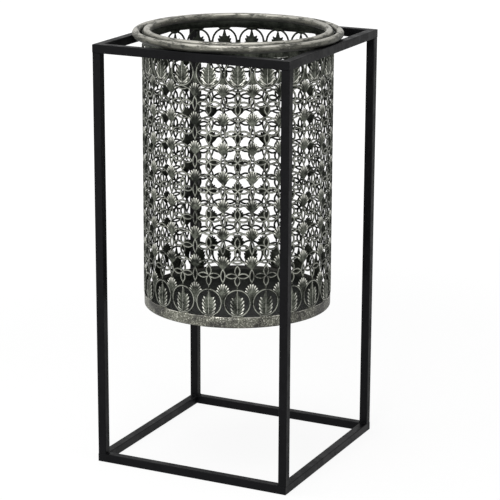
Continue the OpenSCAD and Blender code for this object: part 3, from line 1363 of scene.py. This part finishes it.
    def edge_bead(self) -> ReliefMesh:
        """Draws the rolled edge of a plain band between two medallions' feet.

        Returns:
            The motif, with the band's edge at height 0.
        """
        motif = ReliefMesh()
        reach = self.pitch / 2 - self.foot_half_width + self.lap
        share = np.array([-1.0, -0.93, -0.6, -0.2, 0.2, 0.6, 0.93, 1.0])
        line = np.column_stack([share * reach, np.full(len(share), -self.bead * self.bead_inset)])
        taper = np.array([0.35, 0.85, 1.0, 1.0, 1.0, 1.0, 0.85, 0.35])
        # The high shine paints a highlight along the bead.
        motif.strip(line, taper * self.bead, self.sheet + self.bead_rise * taper, shine=0.95)
        return motif

    def web(self, low: float, high: float) -> ReliefMesh:
        """Draws the sheet between two medallions.

        Args:
            low: its lower end over the medallions' middle height.
            high: its upper end over the medallions' middle height.

        Returns:
            The motif, centred between two medallions at their middle height.
        """
        motif = ReliefMesh()
        half_w, half_h = self._frame_size()
        levels = np.linspace(low, high, 11)
        gap = self.pitch / 2 - half_w * np.sqrt(1.0 - (levels / half_h) ** 2)
        right = np.column_stack([gap, levels])
        left = np.column_stack([-gap, levels])[::-1]
        motif.plate(np.vstack([right, left]), self.sheet, bevel=0.05 * MM, relief=self.flat_relief)
        return motif

    def band(self, name: str, low: float, high: float, hem: bool) -> bpy.types.Object:
        """Makes a plain band of the sheet.

        Args:
            name: the piece's name.
            low: the height of its lower edge.
            high: the height of its upper edge.
            hem: whether it is the worn hem, whose rolled lower edge is darkened as painted shade, or the
                collar, darkened as painted shade under the hanger ring.

        Returns:
            The band.
        """
        r, inner = self.radius, self.inner_radius
        tone = self.flat_relief if hem else self.collar_shade_relief
        foot = [(r - self.edge_in, low, tone), (r, low + self.edge_up, tone)]
        if hem:
            # Painted shade: the rolled lower edge, which turns under, gets relief near 0 and renders dark.
            roll = ((0.45, 0.0, 0.0), (0.05, 0.4, 0.1), (0.0, 1.3, tone))
            foot = [(r - depth * MM, low + rise * MM, glow) for depth, rise, glow in roll]
        middle = [(r, low + (high - low) * share, tone) for share in (0.35, 0.5, 0.65)]
        edge = [(r, high - self.edge_up, tone), (r - self.edge_in, high, tone)]
        profile = [(inner, low, 0.0), *foot, *middle, *edge, (inner, high, 0.0)]
        piece = lathe(name, profile, self.band_steps)
        piece.data.materials.append(self.finishes.band if hem else self.finishes.filigree)
        return piece

    def build(self) -> None:
        """Makes every piece of the drum's sheet and puts it on the drum."""
        fan_rows = self.first_row - self.row_pitch / 2
        hem_top, collar_low = self.bottom + self.hem_height, self.top - self.collar_height
        lower, upper = self.lower_medallion, self.upper_medallion
        near, far = self.web_near, self.web_far
        pieces = [
            self.repeat(self.quatrefoil(), "quatrefoils", self.first_row, self.rows),
            self.repeat(self.upright_loop(), "upright_loops", self.first_row, self.rows, half=True),
            self.repeat(self.eye(), "eye_loops", self.first_row + self.row_pitch / 2, self.rows),
            self.repeat(self.fan(), "fans", fan_rows, self.rows + 1, half=True),
            self.repeat(self.medallion(), "lower_medallions", lower),
            self.repeat(self.medallion(), "upper_medallions", upper),
            self.repeat(self.cup(), "upper_cups", upper),
            self.repeat(self.web(-near, far), "lower_webs", lower, half=True),
            self.repeat(self.web(-far, near), "upper_webs", upper, half=True),
            self.repeat(self.foot(), "lower_feet", hem_top, plain=True),
            self.repeat(self.foot().flipped(), "upper_feet", collar_low),
            self.repeat(self.edge_bead(), "hem_beads", hem_top, half=True, plain=True),
            self.repeat(self.edge_bead().flipped(), "collar_beads", collar_low, half=True),
            self.band("hem", self.bottom, hem_top, True),
            self.band("collar", collar_low, self.top, False),
        ]
        first, *others = pieces
        settle(first, Body.DRUM, Slot.DRUM, "pierced_drum")
        for piece in others:
            settle(piece, Body.DRUM, Slot.DRUM)


# ---------------------------------------------------------------------------------------------
# Rings, base and frame
# ---------------------------------------------------------------------------------------------


@dataclass
class Rings:
    """The rim ring and the hanger ring."""

    finishes: Finishes
    tube: BentTube
    steps: int = 240
    sides: int = 24
    wander: float = 0.5 * MM

    def build(self) -> None:
        """Bends both rings over their solids."""
        slim = self.wander / 3  # taken off the tube, so that its wander stays inside the solid's box
        for seed, node in enumerate(("rim_ring", "hanger_ring")):
            low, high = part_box(node)
            tube_radius = (high.z - low.z) / 2
            piece = self.tube.bake(
                empty_piece(node + "_path"),
                node + "_tube",
                {
                    "Ring Radius": (high.x - low.x) / 2 - tube_radius,
                    "Tube Radius": tube_radius - slim,
                    "Height": (high.z + low.z) / 2,
                    "Steps": self.steps,
                    "Sides": self.sides,
                    "Wander": self.wander,
                    "Seed": float(seed),
                    "Material": self.finishes.ring,
                },
            )
            settle(piece, Body.DRUM, Slot.RING, node)


@dataclass
class BasePan:
    """The closed base inside the hem."""

    finishes: Finishes
    plate: float = 1.0 * MM
    fold: float = 0.8 * MM
    lip_round: float = 0.2 * MM
    steps: int = 180

    def build(self) -> None:
        """Makes the pan over its solid."""
        low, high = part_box("base_pan")
        r = (high.x - low.x) / 2
        inner = r - self.plate
        profile = [
            (0.0, low.z, 0.4),
            (r - self.fold, low.z, 0.4),
            (r, low.z + self.fold, 0.5),
            (r, high.z - self.lip_round, 0.5),
            (r - self.plate / 2, high.z, 0.9),
            (inner, high.z - self.lip_round, 0.6),
            (inner, low.z + self.plate + self.fold, 0.3),
            (inner - self.fold, low.z + self.plate, 0.3),
            (0.0, low.z + self.plate, 0.4),
        ]
        piece = lathe("base_pan_dish", profile, self.steps)
        piece.data.materials.append(self.finishes.base)
        settle(piece, Body.DRUM, Slot.BASE, "base_pan")


@dataclass
class FrameWelds:
    """The beads of weld in the corners of the square frame.

    A bead's middle lies out of its corner by sunk times the leg, and end is what it leaves free of the
    tube's width at each end.
    """

    finishes: Finishes
    weld: WeldBead
    tube: float = 11.0 * MM
    leg: float = 1.1 * MM
    sunk: float = 0.35
    end: float = 1.4 * MM
    bead: Bead = Bead(1.25 * MM, 0.8 * MM, 1.1 * MM, 620.0)

    def build(self) -> None:
        """Lays the beads of both corner groups over their solids."""
        edge = abs(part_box("upright_front_left")[0].x)
        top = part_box("top_rail_front")[1].z
        near = edge - self.tube - self.leg * self.sunk
        span = (edge - self.end, edge - self.tube + self.end)
        for node, base, up in (("bottom_corner_welds", 0.0, 1.0), ("top_corner_welds", top, -1.0)):
            z = base + up * (self.tube + self.leg * self.sunk)
            paths = []
            for sx in (-1.0, 1.0):
                for sy in (-1.0, 1.0):
                    paths.append([(sx * near, sy * far, z) for far in span])
                    paths.append([(sx * far, sy * near, z) for far in span])
            piece = self.weld.lay(node, paths, self.bead, self.finishes.paint)
            settle(piece, Body.FRAME, Slot.FRAME, node)


@dataclass(frozen=True)
class TackGroup:
    """Tacks round the drum: their solid, number, place and size.

    Out is their distance from the sheet's outer face, outwards, and rise their distance above the
    middle of the level solid's box. Those that are turned start at the drum's pattern, not at +X.
    """

    node: str
    count: int
    out: float
    level: str
    rise: float
    radius: float
    turned: bool
    slot: Slot


@dataclass
class DrumTacks:
    """The short tacks of weld that join the drum's sheet to its rings and base.

    Their lumps are lump_share of a tack's radius high.
    """

    finishes: Finishes
    weld: WeldBead
    arc_degrees: float = 3.0
    step: float = 0.9 * MM
    lump_share: float = 0.7
    lump_scale: float = 500.0
    groups: tuple[TackGroup, ...] = (
        TackGroup("hanger_tacks", 4, 1.25 * MM, "hanger_ring", 0.0, 1.6 * MM, False, Slot.RING),
        TackGroup("rim_tacks", 12, -1.7 * MM, "rim_tacks", 0.0, 0.9 * MM, True, Slot.RING),
        TackGroup("base_tacks", 8, -1.3 * MM, "base_tacks", 0.2 * MM, 0.75 * MM, True, Slot.BASE),
    )

    def build(self) -> None:
        """Lays the tacks of every group over their solids."""
        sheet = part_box("pierced_drum")[1].x
        shares = (-0.5, -0.25, 0.0, 0.25, 0.5)
        for group in self.groups:
            low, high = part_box(group.level)
            z = (low.z + high.z) / 2 + group.rise
            radius = sheet + group.out
            first = Drum.turn_degrees if group.turned else 0.0
            paths = []
            for i in range(group.count):
                middle = first + i * 360.0 / group.count
                angles = [math.radians(middle + self.arc_degrees * share) for share in shares]
                paths.append([(radius * math.cos(a), radius * math.sin(a), z) for a in angles])
            bead = Bead(group.radius, self.step, group.radius * self.lump_share, self.lump_scale)
            material = self.finishes.base if group.slot is Slot.BASE else self.finishes.ring
            piece = self.weld.lay(group.node, paths, bead, material)
            settle(piece, Body.DRUM, group.slot, group.node)


def dress_solids(finishes: Finishes, nodes: dict[str, bpy.types.Object]) -> None:
    """Gives the solids that stay in view their finish.

    Args:
        finishes: the finishes.
        nodes: the solids by name.
    """
    for name, node in nodes.items():
        if name.startswith(("upright", "top_", "bottom_")):
            material = finishes.paint
        elif name.startswith("base"):
            material = finishes.base
        else:
            material = finishes.ring
        node.data.materials.clear()
        node.data.materials.append(material)


# ---------------------------------------------------------------------------------------------
# The studio
# ---------------------------------------------------------------------------------------------


@dataclass(frozen=True)
class Lamp:
    """A square soft lamp that faces a point."""

    name: str
    place: Spot
    aim: Spot
    size: float
    power: float

    def build(self) -> None:
        """Adds the lamp."""
        light = bpy.data.lights.new(self.name, "AREA")
        light.size, light.energy = self.size, self.power
        lamp = bpy.data.objects.new(self.name, light)
        lamp.location = self.place
        lamp.rotation_euler = (Vector(self.aim) - Vector(self.place)).to_track_quat("-Z", "Y").to_euler()
        bpy.context.collection.objects.link(lamp)


@dataclass(frozen=True)
class Studio:
    """Camera, lamps, floor and background.

    The camera and mirrored rays see floor_lift of the floor as its own glow, which goes from floor_glow
    at far_start to far_glow at far_end. Sky_tone is how strongly the background lights the object.
    """

    azimuth: float = 25.97
    elevation: float = 15.25
    distance: float = 2.733
    target: Spot = (0.0181, 0.0, 0.2718)
    roll: float = 0.24
    lens: float = 151.6
    sensor: float = 36.0
    floor_size: float = 30.0
    floor_tone: float = 0.80
    floor_lift: float = 0.80
    floor_glow: float = 1.1
    far_glow: float = 1.3
    far_start: float = 0.5
    far_end: float = 2.0
    sky_tone: float = 0.25
    lamps: tuple[Lamp, ...] = (
        Lamp("overhead", (-0.2, -0.3, 2.4), (0.0, 0.0, 0.4), 1.6, 22.0),
        Lamp("key", (0.4, -2.75, 1.0), (0.0, 0.0, 0.35), 1.1, 44.0),
        Lamp("fill_right", (2.6, -1.0, 0.9), (0.0, 0.0, 0.3), 1.6, 12.0),
        Lamp("fill_left", (-2.3, -1.7, 1.0), (0.0, 0.0, 0.3), 1.4, 12.0),
    )

    def build(self) -> None:
        """Makes the whole studio."""
        self._camera()
        for lamp in self.lamps:
            lamp.build()
        self._floor()
        self._world()
        bpy.context.scene.view_settings.view_transform = "Standard"

    def _camera(self) -> None:
        """Adds the camera at the photograph's angle, with its slight roll."""
        a, e = math.radians(self.azimuth), math.radians(self.elevation)
        back = Vector((math.sin(a) * math.cos(e), -math.cos(a) * math.cos(e), math.sin(e)))
        lens = bpy.data.cameras.new("camera")
        lens.lens, lens.sensor_width = self.lens, self.sensor
        camera = bpy.data.objects.new("camera", lens)
        camera.location = Vector(self.target) + back * self.distance
        level = (-back).to_track_quat("-Z", "Y").to_matrix().to_4x4()
        roll = Matrix.Rotation(math.radians(self.roll), 4, "Z")
        camera.rotation_euler = (level @ roll).to_euler()
        bpy.context.collection.objects.link(camera)
        bpy.context.scene.camera = camera

    def _floor(self) -> None:
        """Adds the pale floor, which keeps the object's shadow."""
        half = self.floor_size / 2
        signs = ((-1.0, -1.0), (1.0, -1.0), (1.0, 1.0), (-1.0, 1.0))
        mesh = bpy.data.meshes.new("floor")
        mesh.from_pydata([(x * half, y * half, 0.0) for x, y in signs], [], [(0, 1, 2, 3)])
        floor = bpy.data.objects.new("floor", mesh)
        bpy.context.collection.objects.link(floor)
        material, graph = new_material("floor")
        path = graph.add("ShaderNodeLightPath").outputs
        seen = graph.math("MAXIMUM", path["Is Camera Ray"], path["Is Glossy Ray"])
        matt = graph.add("ShaderNodeBsdfDiffuse", {"Color": (self.floor_tone,) * 3 + (1.0,)})
        place = graph.add("ShaderNodeTexCoord").outputs["Object"]
        away = graph.vector_math("LENGTH", {0: place})
        glow = graph.remap(away, self.far_start, self.far_end, self.floor_glow, self.far_glow)
        white = graph.add("ShaderNodeEmission", {"Color": WHITE, "Strength": glow})
        mix = graph.add(
            "ShaderNodeMixShader",
            {0: graph.math("MULTIPLY", seen, self.floor_lift), 1: matt.outputs[0], 2: white.outputs[0]},
        )
        graph.add("ShaderNodeOutputMaterial", {"Surface": mix.outputs[0]})
        mesh.materials.append(material)

    def _world(self) -> None:
        """Sets a white background that lights the object softly."""
        world = bpy.data.worlds.new("studio")
        world.use_nodes = True
        graph = Graph(world.node_tree)
        path = graph.add("ShaderNodeLightPath").outputs
        mirrored = graph.math("MAXIMUM", path["Is Glossy Ray"], path["Is Transmission Ray"])
        seen = graph.math("MAXIMUM", path["Is Camera Ray"], mirrored)
        strength = graph.math("ADD", graph.math("MULTIPLY", seen, 1.0 - self.sky_tone), self.sky_tone)
        sky = graph.add("ShaderNodeBackground", {"Color": WHITE, "Strength": strength})
        graph.add("ShaderNodeOutputWorld", {"Surface": sky.outputs[0]})
        bpy.context.scene.world = world


def main() -> None:
    """Builds the lantern and its studio."""
    logging.basicConfig(level=logging.INFO, format="%(message)s")
    Studio().build()
    finishes = Finishes()
    dress_solids(finishes, frame["nodes"])
    Drum(finishes, DrumWrap()).build()
    Rings(finishes, BentTube()).build()
    BasePan(finishes).build()
    weld = WeldBead()
    FrameWelds(finishes, weld).build()
    DrumTacks(finishes, weld).build()


if __name__ == "__main__":
    main()
